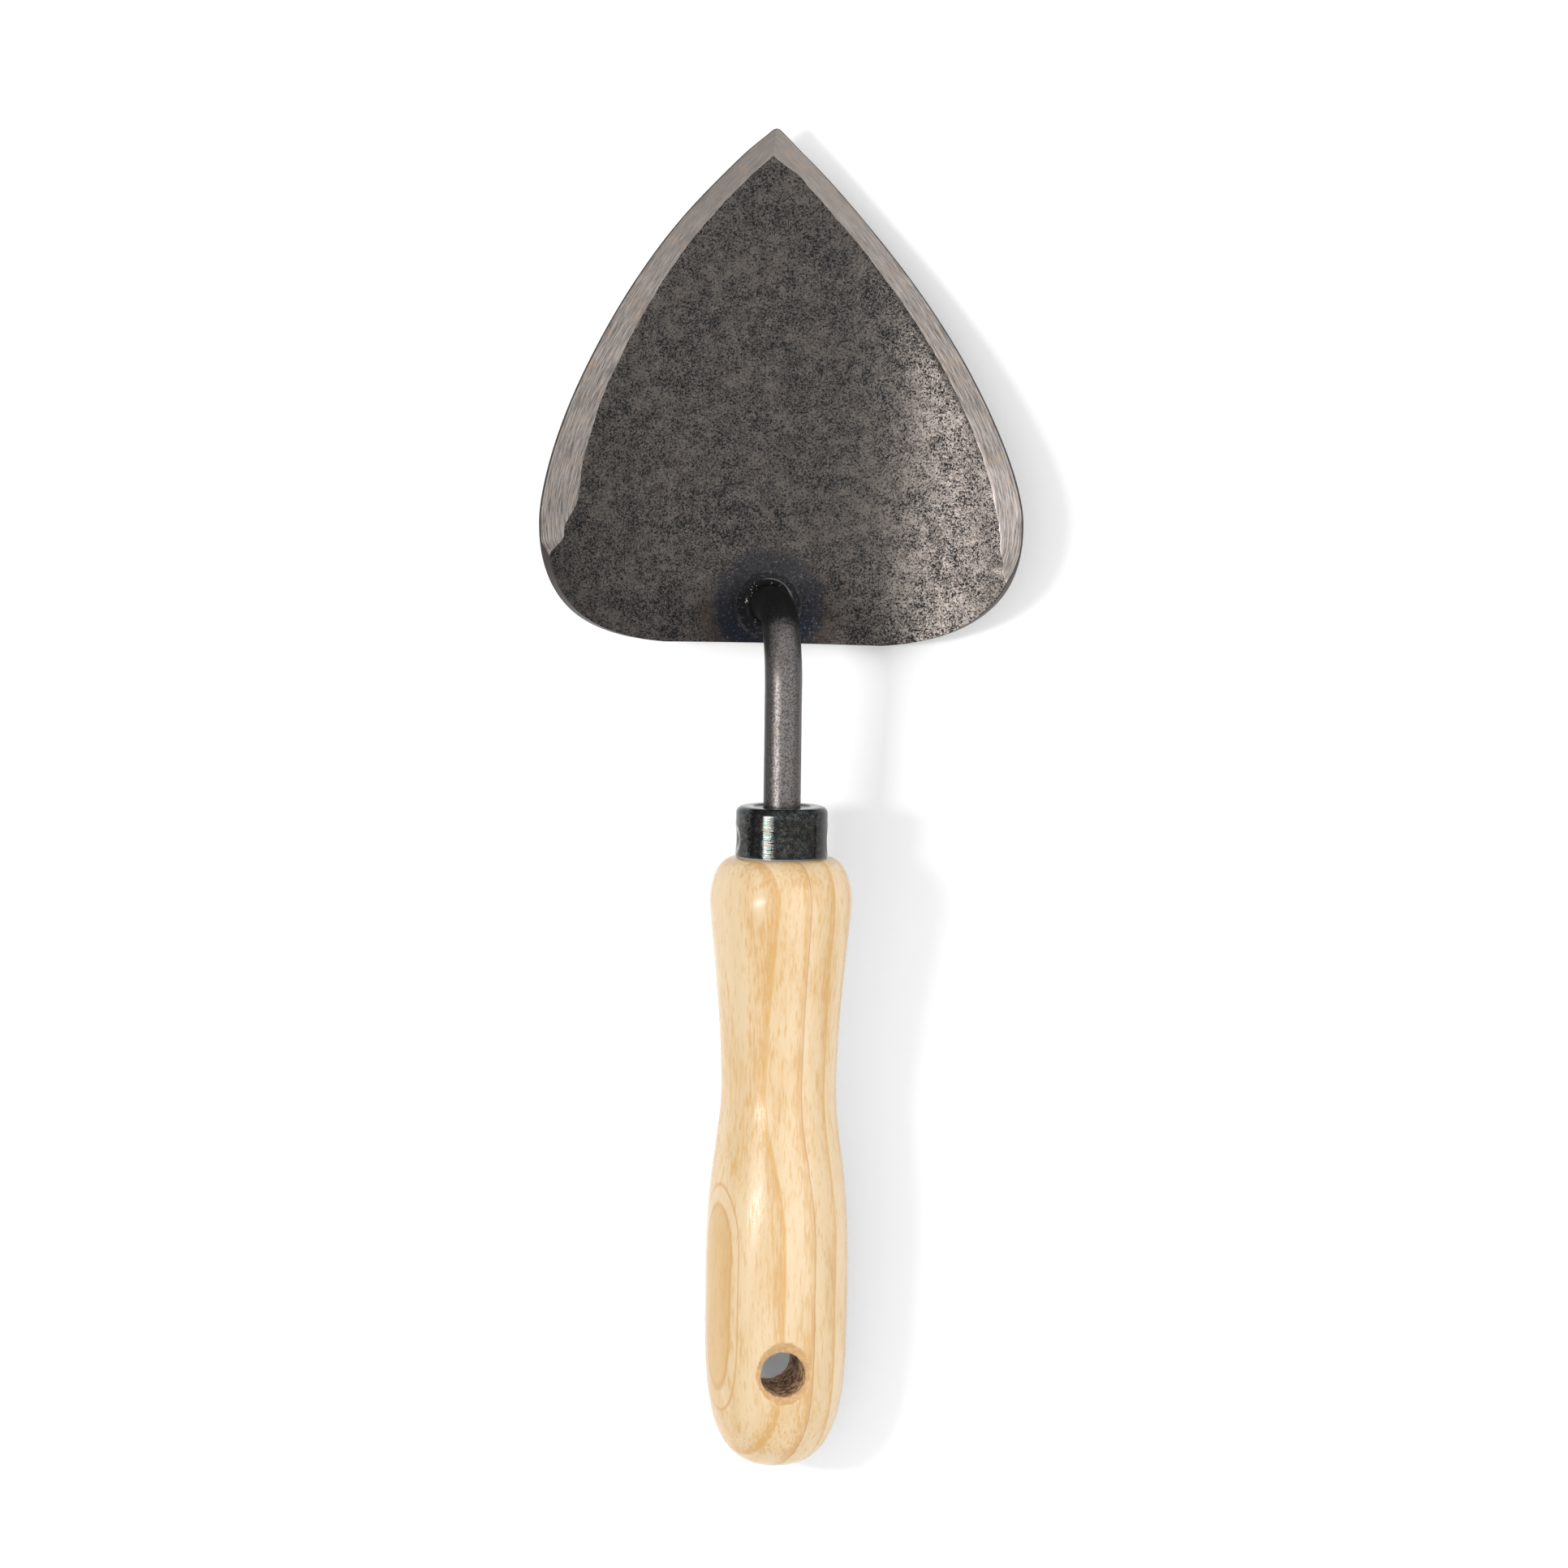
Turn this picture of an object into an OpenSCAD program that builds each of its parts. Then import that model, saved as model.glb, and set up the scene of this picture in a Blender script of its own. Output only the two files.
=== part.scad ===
// Hand transplanter: a heart-shaped digging blade welded to a cranked round
// shank, with a turned wooden handle behind a steel ferrule.
// Frame: origin where the hang hole crosses the handle axis, +Y along the
// handle towards the blade tip, +Z out of the concave side of the blade.

/* [Blade] */
// Length of the blade from its heel to its tip, along the sheet
blade_len = 118.4; // [100:0.2:140]
// Half width of the flat sheet at its widest place
half_w = 58.7; // [50:0.1:66]
// Distance of the widest place from the heel
wide_at = 28; // [26:1:36]
// Half width of the straight heel edge
heel_half = 25.8; // [20:0.2:32]
// Angle of each side against the centre line at the tip
tip_angle = 48.2; // [42:0.2:54]
// Radius of the concave face across the blade
dish_r = 90; // [78:1:140]
// Thickness of the blade sheet
sheet = 2.4; // [1.8:0.1:3]
// Width of the ground bevel along the sides
bevel_w = 6; // [3:0.5:8]
// Thickness that the bevel leaves at the edge
edge_t = 0.7; // [0.5:0.1:1.2]
// Distance of the end of the bevel from the heel
bevel_end = 16; // [12:1:20]
// Length over which the bevel runs out
bevel_fade = 15; // [8:1:18]
// Pitch of the blade against the handle, in degrees, upwards positive
blade_pitch = -1.5; // [-4:0.5:4]

/* [Shank] */
// Diameter of the round bar
bar_d = 8.6; // [7:0.1:9.4]
// Straight length between the ferrule face and the bend
bar_straight = 27.6; // [22:0.2:40]
// Radius of the bend on the centre line
bend_r = 17; // [12:0.5:19]
// Drop from the handle axis to the concave face at the heel
blade_drop = 28.5; // [25:0.5:34]
// Depth of the tang behind the ferrule face
tang_depth = 68; // [40:1:90]
// Length of the point on the tang
tang_point = 9; // [4:1:12]

/* [Weld] */
// Size of the fillet round the foot of the bar
fillet = 1.3; // [0.8:0.1:1.8]
// Radius of the weld bead on the back of the blade
bead_r = 8.4; // [7:0.1:10]
// Height of the weld bead
bead_h = 1.8; // [1.2:0.1:2.4]

/* [Ferrule] */
// Outside diameter of the ferrule
ferrule_d = 21; // [20:0.1:21.4]
// Length of the ferrule
ferrule_len = 11.7; // [10:0.1:16]
// Wall of the ferrule
ferrule_wall = 1.2; // [1:0.1:1.4]
// Radius of the rounded shoulder
shoulder_r = 1.6; // [1:0.1:2]
// Diameter of the shallow recess round the bar
recess_d = 12.9; // [11:0.1:15]
// Depth of the shallow recess
recess_depth = 0.4; // [0.2:0.1:0.6]
// Distance of the two crimps from the ferrule face
crimp_at = 7.6; // [6:0.1:8]
// Diameter of each crimp on the surface
crimp_d = 6.3; // [4:0.1:7]
// Depth of each crimp
crimp_depth = 0.9; // [0.5:0.1:1.1]

/* [Handle] */
// Length of the wood behind the ferrule
handle_len = 140.4; // [125:0.2:155]
// Radius of the front swell
front_r = 16.25; // [15:0.05:17.5]
// Distance of the front swell from the ferrule
front_at = 9.6; // [8:0.2:12]
// Radius of the wood at its front end
nose_r = 10.8; // [10.7:0.1:12]
// Radius of the waist
waist_r = 13.18; // [12:0.02:14.5]
// Distance of the waist from the ferrule
waist_at = 52.8; // [48:0.2:58]
// Radius of the rear swell
rear_r = 16.35; // [15:0.05:17.5]
// Distance of the rear swell from the ferrule
rear_at = 93.4; // [88:0.2:98]

/* [Hang hole] */
// Diameter of the hang hole
hole_d = 10.4; // [8:0.1:12]
// Distance of the hang hole from the butt
hole_from_butt = 22.8; // [20:0.1:30]
// Diameter of the countersink on the wood
sink_d = 15; // [12.5:0.5:16]

/* [Hidden] */
$fn = 96;
// Facets round the large cylinders of the dished sheet
dish_facets = 180;
// Overlap that joins two solids into one
eps = 0.01;
// Length by which a cutter passes the solid it cuts
spare = 1;
// Gap between the wood and the steel it holds
wood_gap = 0.05;
// Gap between the bar and the hole in the blade
foot_gap = 0.05;
// Distance of the foot from the heel, along the sheet
foot_in = 8.7;
// Radius of the blunt end of the tang
tang_tip_r = bar_d / 8;

wood_front = handle_len - hole_from_butt;
face_y = wood_front + ferrule_len;
bar_r = bar_d / 2;
hole_r = hole_d / 2;
tenon_r = ferrule_d / 2 - ferrule_wall - wood_gap;

// The bend turns the bar square to the pitched blade
bend_angle = 90 - blade_pitch;
bend_y = face_y + bar_straight;
turn_y = bend_y + bend_r * sin(bend_angle);
turn_z = bend_r * (1 - cos(bend_angle));
// The heel follows from where the foot enters the sheet
foot_len = (blade_drop - foot_in * sin(blade_pitch) - turn_z) / cos(blade_pitch);
heel_y = turn_y + foot_len * sin(blade_pitch) - foot_in * cos(blade_pitch);

function along(a, b, t) = a + (b - a) * t;
function bezier(p, t) =
    pow(1 - t, 3) * p[0] + 3 * pow(1 - t, 2) * t * p[1]
    + 3 * (1 - t) * t * t * p[2] + pow(t, 3) * p[3];
function steps(count) = [for (i = [0:count]) i / count];

// ---- Blade -------------------------------------------------------------

// Angle at which the heel corner leaves the heel edge
heel_rise = 4.5;
// Length over which that corner holds its direction
heel_pull = 32.7;
// Length over which the side holds upright below the widest place
low_pull = 5.7;
// The same above the widest place
high_pull = 15.1;
// Length over which the side holds its tip angle
tip_pull = 48.4;
// Half width of the blunt tip
tip_flat = 0.6;
// Number of steps along the side and round the heel corner
side_steps = 16;
corner_steps = 14;

// Outline of the flat sheet on the right side, from heel corner to tip
corner_curve = [
    [heel_half, 0],
    [heel_half + heel_pull * cos(heel_rise), heel_pull * sin(heel_rise)],
    [half_w, wide_at - low_pull], [half_w, wide_at]];
side_curve = [
    [half_w, wide_at], [half_w, wide_at + high_pull],
    [tip_flat + tip_pull * sin(tip_angle), blade_len - tip_pull * cos(tip_angle)],
    [tip_flat, blade_len]];
corner_points = [for (t = steps(corner_steps)) bezier(corner_curve, t)];
side_points = [for (t = steps(side_steps)) bezier(side_curve, t)];

// Place across the finished blade of a point on the flat sheet
function rolled(across) = (dish_r + sheet) * sin(across / dish_r * 180 / PI);

module outline() {
    right = concat(corner_points, [for (i = [1:side_steps]) side_points[i]]);
    count = len(right);
    plan = [for (p = right) [rolled(p[0]), p[1]]];
    polygon(concat(plan, [for (i = [1:count]) [-plan[count - i][0], plan[count - i][1]]]));
}

// Cylinder along the blade, concentric with its concave face
module dish(radius) {
    past = 20;
    translate([0, -past, dish_r]) rotate([-90, 0, 0])
        cylinder(r = radius, h = blade_len + 2 * past, $fn = dish_facets);
}

module sheet_blank() {
    deep = 40;
    difference() {
        intersection() {
            dish(dish_r + sheet);
            translate([0, 0, -sheet - spare]) linear_extrude(deep) outline();
        }
        dish(dish_r);
    }
}

bevel_slope = atan((sheet - edge_t) / bevel_w);
// How far the bevel cutter reaches past the ground face, along it and above it
bevel_past = 2;
bevel_above = 7;

// Section of the metal that the bevel takes off, at one place on the side
function bevel_section(p) =
    let (x = rolled(p[0]),
         lean = asin(x / dish_r),
         width = bevel_w * min(1, (p[1] - bevel_end) / bevel_fade),
         inward = [-cos(lean + bevel_slope), -sin(lean + bevel_slope)],
         up = [-sin(lean), cos(lean)],
         slope = [-cos(lean - bevel_slope), -sin(lean - bevel_slope)],
         edge = [x, dish_r * (1 - cos(lean))] - up * width * tan(bevel_slope),
         outer = edge - slope * bevel_past,
         inner = edge + slope * (max(width, 0) + bevel_past),
         inner_top = inner + bevel_above * up,
         outer_top = outer + (bevel_above + bevel_past) * up)
    [for (c = [outer, inner, inner_top, outer_top]) [c[0], p[1], c[1]]];

module bevel_cutter() {
    past = 4;
    low = [for (p = corner_points) if (p[1] > bevel_end - bevel_past) p];
    high = [for (i = [1:side_steps]) side_points[i]];
    beyond = [tip_flat - past * tan(tip_angle), blade_len + past];
    places = concat(low, high, [beyond]);
    last = len(places) - 1;
    points = [for (p = places) each bevel_section(p)];
    walls = [for (i = [0:last - 1]) for (k = [0:3])
        let (n = (k + 1) % 4) each [
            [4 * i + 4 + k, 4 * i + n, 4 * i + k],
            [4 * i + 4 + k, 4 * i + 4 + n, 4 * i + n]]];
    ends = [[0, 1, 2, 3], [4 * last + 3, 4 * last + 2, 4 * last + 1, 4 * last]];
    polyhedron(points, concat(walls, ends));
}

// Puts a blade part in place: the child's origin is the heel, its +Z the normal
module on_blade() {
    translate([0, heel_y, -blade_drop]) rotate([blade_pitch, 0, 0]) children();
}

module blade() {
    color("#5d564e") on_blade() difference() {
        sheet_blank();
        bevel_cutter();
        mirror([1, 0, 0]) bevel_cutter();
        translate([0, foot_in, -sheet - spare])
            cylinder(r = bar_r + foot_gap, h = sheet + 2 * spare);
    }
}

// ---- Shank -------------------------------------------------------------

module shank() {
    straight = tang_depth - tang_point + bar_straight;
    color("#4a4642") translate([0, bend_y, -bend_r]) rotate([0, -90, 0]) {
        rotate_extrude(angle = bend_angle) translate([bend_r, 0]) circle(r = bar_r);
        translate([bend_r, 0, 0]) rotate([90, 0, 0]) {
            cylinder(r = bar_r, h = straight);
            translate([0, 0, straight]) cylinder(r1 = bar_r, r2 = tang_tip_r, h = tang_point);
        }
        rotate([0, 0, bend_angle]) translate([bend_r, 0, 0]) rotate([-90, 0, 0])
            cylinder(r = bar_r, h = foot_len + sheet);
    }
}

// ---- Weld --------------------------------------------------------------

module front_fillet() {
    reach = bar_r + foot_gap + fillet;
    intersection() {
        dish(dish_r);
        translate([0, foot_in, 0]) rotate_extrude() difference() {
            translate([bar_r, -fillet]) square([fillet + foot_gap, 2 * fillet]);
            translate([reach, fillet]) circle(r = fillet);
        }
    }
}

module back_bead() {
    ball_r = (bead_r * bead_r + bead_h * bead_h) / (2 * bead_h);
    difference() {
        translate([0, foot_in, -sheet]) intersection() {
            translate([0, 0, ball_r - bead_h]) sphere(r = ball_r);
            translate([0, 0, -bead_h - spare]) cylinder(r = bead_r, h = bead_h + 2 * spare);
        }
        dish(dish_r + sheet);
        translate([0, foot_in, -sheet]) cylinder(r = bar_r + foot_gap, h = sheet + spare);
    }
}

module foot_weld() {
    color("#33302e") on_blade() {
        front_fillet();
        back_bead();
    }
}

// ---- Ferrule -----------------------------------------------------------

crimp_ball = (pow(crimp_d / 2, 2) + pow(crimp_depth, 2)) / (2 * crimp_depth);
crimp_x = ferrule_d / 2 - crimp_depth + crimp_ball;

// Ball that presses a crimp, on both sides of the ferrule
module crimps(radius) {
    for (side = [-1, 1])
        translate([side * crimp_x, face_y - crimp_at, 0]) sphere(r = radius);
}

module ferrule() {
    outer = ferrule_d / 2;
    inner = outer - ferrule_wall;
    core = outer - shoulder_r;
    color("#26241f") difference() {
        union() {
            translate([0, face_y, 0]) rotate([90, 0, 0]) rotate_extrude() difference() {
                union() {
                    square([core, ferrule_len]);
                    translate([0, shoulder_r]) square([outer, ferrule_len - shoulder_r]);
                    translate([core, shoulder_r]) circle(r = shoulder_r);
                }
                translate([-spare, ferrule_wall]) square([inner + spare, ferrule_len]);
                translate([-spare, -spare]) square([bar_r + wood_gap + spare, ferrule_len]);
                translate([-spare, -spare]) square([recess_d / 2 + spare, spare + recess_depth]);
            }
            intersection() {
                crimps(crimp_ball + ferrule_wall);
                translate([0, face_y - ferrule_wall, 0]) rotate([90, 0, 0])
                    cylinder(r = inner + eps, h = ferrule_len - ferrule_wall);
            }
        }
        crimps(crimp_ball);
    }
}

// ---- Handle ------------------------------------------------------------

// How long the rear swell stays full, and how blunt the butt is
butt_power = 4.3;
butt_round = 2.55;
// Length over which the front swell and the waist hold their radius
front_hold = 5.5;
waist_front_hold = 17;
waist_rear_hold = 11.3;
rear_hold = 21.7;
// Number of points along each curve of the wood
curve_steps = 12;
// Angle between points round the nose and round the butt
nose_step = 10;
butt_step = 5;
// How far the wood has narrowed where the hang hole leaves it
mouth_drop = 0.5;
// Length of the countersinking cone
sink_cone = 3;

// Radii along the wood, each point as [distance from the ferrule, radius]
nose_points = [for (a = [0:nose_step:90 - nose_step])
    [front_at * (1 - cos(a)), nose_r + (front_r - nose_r) * sin(a)]];
front_curve = [
    [front_at, front_r], [front_at + front_hold, front_r],
    [waist_at - waist_front_hold, waist_r], [waist_at, waist_r]];
rear_curve = [
    [waist_at, waist_r], [waist_at + waist_rear_hold, waist_r],
    [rear_at - rear_hold, rear_r], [rear_at, rear_r]];
butt_points = [for (a = [0:butt_step:90])
    let (t = sin(a))
    [along(rear_at, handle_len, t), rear_r * pow(1 - pow(t, butt_power), 1 / butt_round)]];
wood_outline = concat(
    nose_points,
    [for (t = steps(curve_steps)) bezier(front_curve, t)],
    [for (i = [1:curve_steps - 1]) bezier(rear_curve, i / curve_steps)],
    butt_points);

module hang_hole() {
    sink = (sink_d - hole_d) / 2;
    sink_from = rear_r - mouth_drop - sink;
    cylinder(r = hole_r, h = 4 * front_r, center = true);
    for (side = [0, 180]) rotate([side, 0, 0])
        translate([0, 0, sink_from])
            cylinder(r1 = hole_r, r2 = hole_r + sink_cone, h = sink_cone);
}

module handle() {
    bore_r = bar_r + wood_gap;
    tenon = ferrule_len - ferrule_wall - 2 * wood_gap;
    bore_deep = tang_depth - ferrule_len - tang_point + tenon + 2 * spare;
    color("#dcb77c") difference() {
        union() {
            translate([0, wood_front - wood_gap, 0]) rotate([90, 0, 0]) rotate_extrude()
                polygon(concat([[0, 0]], [for (p = wood_outline) [p[1], p[0]]]));
            difference() {
                translate([0, wood_front + tenon, 0]) rotate([90, 0, 0])
                    cylinder(r = tenon_r, h = tenon + spare);
                crimps(crimp_ball + ferrule_wall + wood_gap);
            }
        }
        translate([0, wood_front + tenon + spare, 0]) rotate([90, 0, 0]) {
            cylinder(r = bore_r, h = bore_deep);
            translate([0, 0, bore_deep])
                cylinder(r1 = bore_r, r2 = tang_tip_r, h = tang_point);
        }
        hang_hole();
    }
}

blade();
shank();
foot_weld();
ferrule();
handle();
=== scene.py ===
import math

import bmesh
import bpy
from mathutils import Matrix, Vector, noise
from mathutils.kdtree import KDTree


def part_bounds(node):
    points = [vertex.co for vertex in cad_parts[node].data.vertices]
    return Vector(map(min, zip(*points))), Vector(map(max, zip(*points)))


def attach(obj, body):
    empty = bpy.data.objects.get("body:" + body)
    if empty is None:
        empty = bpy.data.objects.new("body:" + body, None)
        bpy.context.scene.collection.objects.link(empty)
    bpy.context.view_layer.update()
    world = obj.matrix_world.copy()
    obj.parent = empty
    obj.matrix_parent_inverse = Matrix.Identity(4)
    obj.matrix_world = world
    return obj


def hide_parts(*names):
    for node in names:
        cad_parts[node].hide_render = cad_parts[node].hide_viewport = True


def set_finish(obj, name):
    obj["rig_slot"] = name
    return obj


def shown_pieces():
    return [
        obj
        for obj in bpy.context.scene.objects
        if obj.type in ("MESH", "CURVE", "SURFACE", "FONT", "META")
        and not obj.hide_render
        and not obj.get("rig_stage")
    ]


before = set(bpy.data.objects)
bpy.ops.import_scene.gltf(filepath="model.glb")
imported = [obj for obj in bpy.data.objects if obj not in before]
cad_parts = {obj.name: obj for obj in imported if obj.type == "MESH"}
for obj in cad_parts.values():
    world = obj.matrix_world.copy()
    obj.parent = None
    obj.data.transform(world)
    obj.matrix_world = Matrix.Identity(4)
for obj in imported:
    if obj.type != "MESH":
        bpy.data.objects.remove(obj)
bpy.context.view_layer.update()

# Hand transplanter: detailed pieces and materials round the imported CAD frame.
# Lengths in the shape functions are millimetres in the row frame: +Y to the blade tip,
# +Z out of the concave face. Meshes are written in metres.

MM = 0.001
WELD_GAP = 0.002 * MM
# A slanted direction, along which hardly any two points of a mesh are level
SORT_LINE = Vector((0.6113, 0.5471, 0.5719))


def part_box(node):
    low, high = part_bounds(node)
    return Vector(low) / MM, Vector(high) / MM


# ---- Places read from the frame ----

FERRULE_LOW, FERRULE_HIGH = part_box("ferrule")
SHANK_LOW, SHANK_HIGH = part_box("shank")
FACE_Y = FERRULE_HIGH.y
WOOD_FRONT = FERRULE_LOW.y
BUTT_Y = part_box("handle")[0].y
BAR_R = (SHANK_HIGH.x - SHANK_LOW.x) / 2
FERRULE_R = (FERRULE_HIGH.x - FERRULE_LOW.x) / 2
WOOD_LEN = WOOD_FRONT - BUTT_Y

# ---- Design sizes, as in the CAD but for the thinner ground edge ----

BLADE_PITCH = math.radians(-1.5)
DISH_R = 90.0
SHEET = 2.4
EDGE_T = 0.55
BLADE_LEN = 118.4
BLADE_DROP = 28.5
FOOT_IN = 8.7
BEND_R = 17.0
BAR_STRAIGHT = 27.6
TANG_DEPTH = 68.0
HOLE_R = 5.2
BAR_GAP = 0.06

BEND_ANGLE = math.pi / 2 - BLADE_PITCH
BEND_Y = FACE_Y + BAR_STRAIGHT
TURN_Y = BEND_Y + BEND_R * math.sin(BEND_ANGLE)
TURN_Z = BEND_R * (1 - math.cos(BEND_ANGLE))
FOOT_LEN = (BLADE_DROP - FOOT_IN * math.sin(BLADE_PITCH) - TURN_Z) / math.cos(BLADE_PITCH)
HEEL_Y = TURN_Y + FOOT_LEN * math.sin(BLADE_PITCH) - FOOT_IN * math.cos(BLADE_PITCH)


# ---- Small maths ----

def clamp(value, low=0.0, high=1.0):
    return max(low, min(high, value))


def smooth(low, high, value):
    t = clamp((value - low) / (high - low))
    return t * t * (3 - 2 * t)


def bezier(points, t):
    a, b, c, d = points
    return tuple((1 - t) ** 3 * a[i] + 3 * (1 - t) ** 2 * t * b[i]
                 + 3 * (1 - t) * t * t * c[i] + t ** 3 * d[i] for i in range(len(a)))


def through(stations, x):
    """Smooth curve through (x, y) stations, flat beyond the ends."""
    if x <= stations[0][0]:
        return stations[0][1]
    for (x0, y0), (x1, y1) in zip(stations, stations[1:]):
        if x <= x1:
            t = (x - x0) / (x1 - x0)
            return y0 + (y1 - y0) * t * t * (3 - 2 * t)
    return stations[-1][1]


def ripple(x, y, z=0.0):
    return noise.noise(Vector((x, y, z)))


def turns(count):
    """Equal angles round a circle."""
    return [2 * math.pi * i / count for i in range(count)]


# ---- Mesh helpers ----

class Builder:
    """Collects vertices in millimetres and faces, then makes one object."""

    def __init__(self, name):
        self.name, self.points, self.faces, self.kinds = name, [], [], []

    def point(self, xyz):
        self.points.append(tuple(c * MM for c in xyz))
        return len(self.points) - 1

    def face(self, *corners, kind=0):
        kept = [c for i, c in enumerate(corners) if c != corners[i - 1]]
        if len(set(kept)) == len(kept) and len(kept) > 2:
            self.faces.append(kept)
            self.kinds.append(kind)

    def strip(self, one, two, closed=False, kind=0):
        """Faces between two rows of points."""
        count = len(one)
        for i in range(count if closed else count - 1):
            j = (i + 1) % count
            self.face(one[i], one[j], two[j], two[i], kind=kind)

    def skin(self, rings):
        """Faces between each closed ring and the next."""
        for one, two in zip(rings, rings[1:]):
            self.strip(one, two, closed=True)

    def cap(self, ring, xyz):
        """Closes a ring with a fan to one new point."""
        hub = self.point(xyz)
        for a, b in zip(ring, ring[1:] + ring[:1]):
            self.face(a, b, hub)

    def make(self, materials, sharp=40):
        mesh = bpy.data.meshes.new(self.name)
        mesh.from_pydata(self.points, [], self.faces)
        mesh.update()
        for material in materials:
            mesh.materials.append(material)
        mesh.polygons.foreach_set("material_index", self.kinds)
        piece = bpy.data.objects.new(self.name, mesh)
        bpy.context.collection.objects.link(piece)
        finish_normals(mesh, sharp)
        return piece


def finish_normals(mesh, sharp):
    """Outward faces, smooth shading, and sharp edges above an angle in degrees."""
    work = bmesh.new()
    work.from_mesh(mesh)
    bmesh.ops.recalc_face_normals(work, faces=work.faces)
    limit = math.radians(sharp)
    for face in work.faces:
        face.smooth = True
    for edge in work.edges:
        edge.smooth = len(edge.link_faces) == 2 and edge.calc_face_angle(0) < limit
    work.to_mesh(mesh)
    work.free()


def cut(piece, cutter):
    """Takes the cutter's volume out of the piece, and removes the cutter."""
    knife = piece.modifiers.new("cut", "BOOLEAN")
    knife.operation, knife.solver, knife.object = "DIFFERENCE", "EXACT", cutter
    bpy.context.view_layer.update()
    shaped = bpy.data.meshes.new_from_object(
        piece.evaluated_get(bpy.context.evaluated_depsgraph_get()))
    piece.modifiers.clear()
    work = bmesh.new()
    work.from_mesh(shaped)
    # The solver's order can change from run to run, and the merge below follows it
    work.verts.sort(key=lambda v: v.co.dot(SORT_LINE))
    work.edges.sort(key=lambda e: (e.verts[0].co + e.verts[1].co).dot(SORT_LINE))
    work.faces.sort(key=lambda f: f.calc_center_median().dot(SORT_LINE))
    bmesh.ops.remove_doubles(work, verts=work.verts, dist=WELD_GAP)
    bmesh.ops.dissolve_degenerate(work, edges=work.edges, dist=WELD_GAP)
    work.to_mesh(shaped)
    work.free()
    old, piece.data = piece.data, shaped
    shaped.name = piece.name
    bpy.data.meshes.remove(old)
    bpy.data.objects.remove(cutter)


# ---- Blade ----

HEEL_HALF, HALF_W, WIDE_AT, TIP_FLAT = 25.8, 58.7, 28.0, 0.45
HEEL_RISE, TIP_ANGLE = math.radians(4.5), math.radians(48.2)
HEEL_PULL, LOW_PULL, HIGH_PULL, TIP_PULL = 32.7, 5.7, 15.1, 48.4
CORNER = [(HEEL_HALF, 0),
          (HEEL_HALF + HEEL_PULL * math.cos(HEEL_RISE), HEEL_PULL * math.sin(HEEL_RISE)),
          (HALF_W, WIDE_AT - LOW_PULL), (HALF_W, WIDE_AT)]
SIDE = [(HALF_W, WIDE_AT), (HALF_W, WIDE_AT + HIGH_PULL),
        (TIP_FLAT + TIP_PULL * math.sin(TIP_ANGLE), BLADE_LEN - TIP_PULL * math.cos(TIP_ANGLE)),
        (TIP_FLAT, BLADE_LEN)]
CORNER_STEPS, SIDE_STEPS, NOSE_STEPS = 56, 96, 8
# The nose's arc stops a little short of the centre line
NOSE_SPAN = 7.3
TIP_ROUND = 1.25
# The blade is cut and ground by hand: its centre line wanders a little
WANDER = [(0, 0.67), (14, 1.17), (28, 1.08), (60, 0.67), (95, 0.26), (112, 0.76), (119, 1.40)]
# Width of the ground bevel, across the blade, by distance from the heel
BEVEL = {-1: [(19.5, 0), (25, 5.4), (33, 9.0), (44, 7.8), (60, 6.6), (90, 5.9), (107, 6.2), (112, 6.8)],
         1: [(14.0, 0), (18, 2.6), (23, 4.6), (34, 5.8), (60, 5.2), (90, 5.5), (107, 6.1), (112, 7.6)]}
FULL_BEVEL = 4.6
# The heel leans and sits back a little, fading along the blade
HEEL_SKEW, HEEL_SHIFT, HEEL_FADE = 0.018, 0.42, 14
RING_R = 7.7
SHEET_COLUMNS, BEVEL_COLUMNS = 84, 6
PUNCH_DEPTHS = (-2.0, 0.6, 1.8, SHEET + 2)
EDGE_SOFT, RIM_SOFT, THIN_BEVEL = 0.22, 0.16, 0.02
TINY = 1e-6


def on_sheet(across, along, depth):
    """Row-frame point on the dished sheet, depth below its concave face."""
    angle = across / DISH_R
    x = (DISH_R + depth) * math.sin(angle)
    z = DISH_R - (DISH_R + depth) * math.cos(angle)
    cos, sin = math.cos(BLADE_PITCH), math.sin(BLADE_PITCH)
    return (x, HEEL_Y + along * cos - z * sin, -BLADE_DROP + along * sin + z * cos)


def blade_relief(across, along):
    """How far both faces stand off the true dish: hammer waves and the weld's imprint."""
    wave = 0.16 * ripple(across / 34, along / 46, 3.1) + 0.05 * ripple(across / 11, along / 14, 7.7)
    reach = math.hypot(across, along - FOOT_IN)
    imprint = 0.14 * (1 - smooth(RING_R - 0.4, RING_R + 0.7, reach))
    return wave * smooth(8, 18, reach) + imprint


def blade_rows():
    """Half widths and distances along the blade, heel to tip."""
    corner = [bezier(CORNER, i / CORNER_STEPS) for i in range(CORNER_STEPS)]
    side = [bezier(SIDE, i / SIDE_STEPS) for i in range(SIDE_STEPS + 1)]
    side = [(half, along) for half, along in side if half > TIP_ROUND * math.cos(TIP_ANGLE) + 0.1]
    # One more row where the two bevels meet
    meet = (BEVEL[-1][-1][1] + BEVEL[1][-1][1]) / 2 - 0.01
    last = max(i for i, (half, _) in enumerate(side) if half > meet)
    (wide, low), (narrow, high) = side[last], side[last + 1]
    side.insert(last + 1, (meet, low + (high - low) * (wide - meet) / (wide - narrow)))
    apex = BLADE_LEN + TIP_FLAT / math.tan(TIP_ANGLE)
    middle = apex - TIP_ROUND / math.sin(TIP_ANGLE)
    swings = [(math.pi / 2 - TIP_ANGLE) * (1 - i / NOSE_SPAN) for i in range(NOSE_STEPS)]
    nose = [(TIP_ROUND * math.sin(a), middle + TIP_ROUND * math.cos(a)) for a in swings]
    return corner + side + nose


def bevel_drop(width):
    """How deep a bevel of this width has cut at the very edge."""
    return (SHEET - EDGE_T) * smooth(0, FULL_BEVEL, width)


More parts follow.
